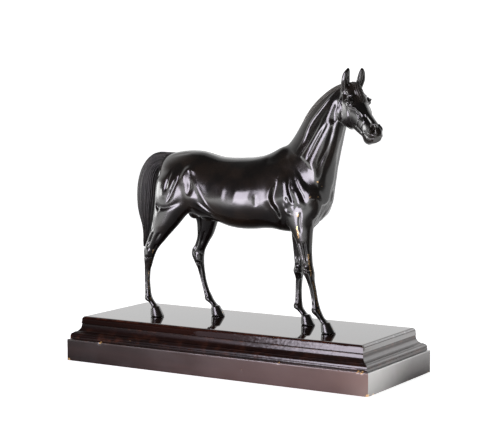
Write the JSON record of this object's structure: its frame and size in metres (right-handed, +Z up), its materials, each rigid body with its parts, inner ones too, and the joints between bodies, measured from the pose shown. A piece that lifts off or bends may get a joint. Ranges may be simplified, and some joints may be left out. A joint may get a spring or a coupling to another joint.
{
  "type": "horse statuette",
  "caption": "Standing bronze horse with turned head and arched tail, fixed by its hooves to a stepped dark wooden plinth.",
  "frame": {"origin": "centre of the plinth's footprint, on the surface it stands on", "axes": "+X along the plinth's long side, the way the horse faces; +Z up; the horse's right side faces -Y"},
  "size_m": [0.4, 0.158, 0.3467],
  "materials": {
    "patinated_bronze": "near-black brown patina, polished to a gloss, worn golden on high points",
    "pin_bronze": "bare bronze rod",
    "steel": "bright zinc plated",
    "dark_wood": "dark mahogany stain with a satin polish, chipped to pale wood at the corners",
    "plain_wood": "bare sawn softwood",
    "screw_brass": "turned brass",
    "baize": "green wool baize"
  },
  "bodies": {
    "root": {"body": "patinated_bronze", "head_and_neck": "patinated_bronze", "right_hind_leg": "patinated_bronze", "left_hind_leg": "patinated_bronze", "left_fore_leg": "patinated_bronze", "right_fore_leg": "patinated_bronze", "tail": "patinated_bronze", "neck_pin": "pin_bronze", "right_hind_leg_pin": "pin_bronze", "left_hind_leg_pin": "pin_bronze", "left_fore_leg_pin": "pin_bronze", "right_fore_leg_pin": "pin_bronze", "tail_pin": "pin_bronze", "stud_right_hind": "steel", "stud_left_hind": "steel", "stud_left_fore": "steel", "stud_right_fore": "steel", "washer_right_hind": "steel", "washer_left_hind": "steel", "washer_left_fore": "steel", "washer_right_fore": "steel", "nut_right_hind": "steel", "nut_left_hind": "steel", "nut_left_fore": "steel", "nut_right_fore": "steel", "top_board": "dark_wood", "moulding_front": "dark_wood", "moulding_right": "dark_wood", "moulding_back": "dark_wood", "moulding_left": "dark_wood", "skirt_front": "dark_wood", "skirt_right": "dark_wood", "skirt_back": "dark_wood", "skirt_left": "dark_wood", "bottom_board": "plain_wood", "corner_block_front_left": "plain_wood", "corner_block_front_right": "plain_wood", "corner_block_back_right": "plain_wood", "corner_block_back_left": "plain_wood", "base_screw_front_left": "screw_brass", "base_screw_front_right": "screw_brass", "base_screw_back_right": "screw_brass", "base_screw_back_left": "screw_brass", "baize": "baize"}
  },
  "joints": []
}
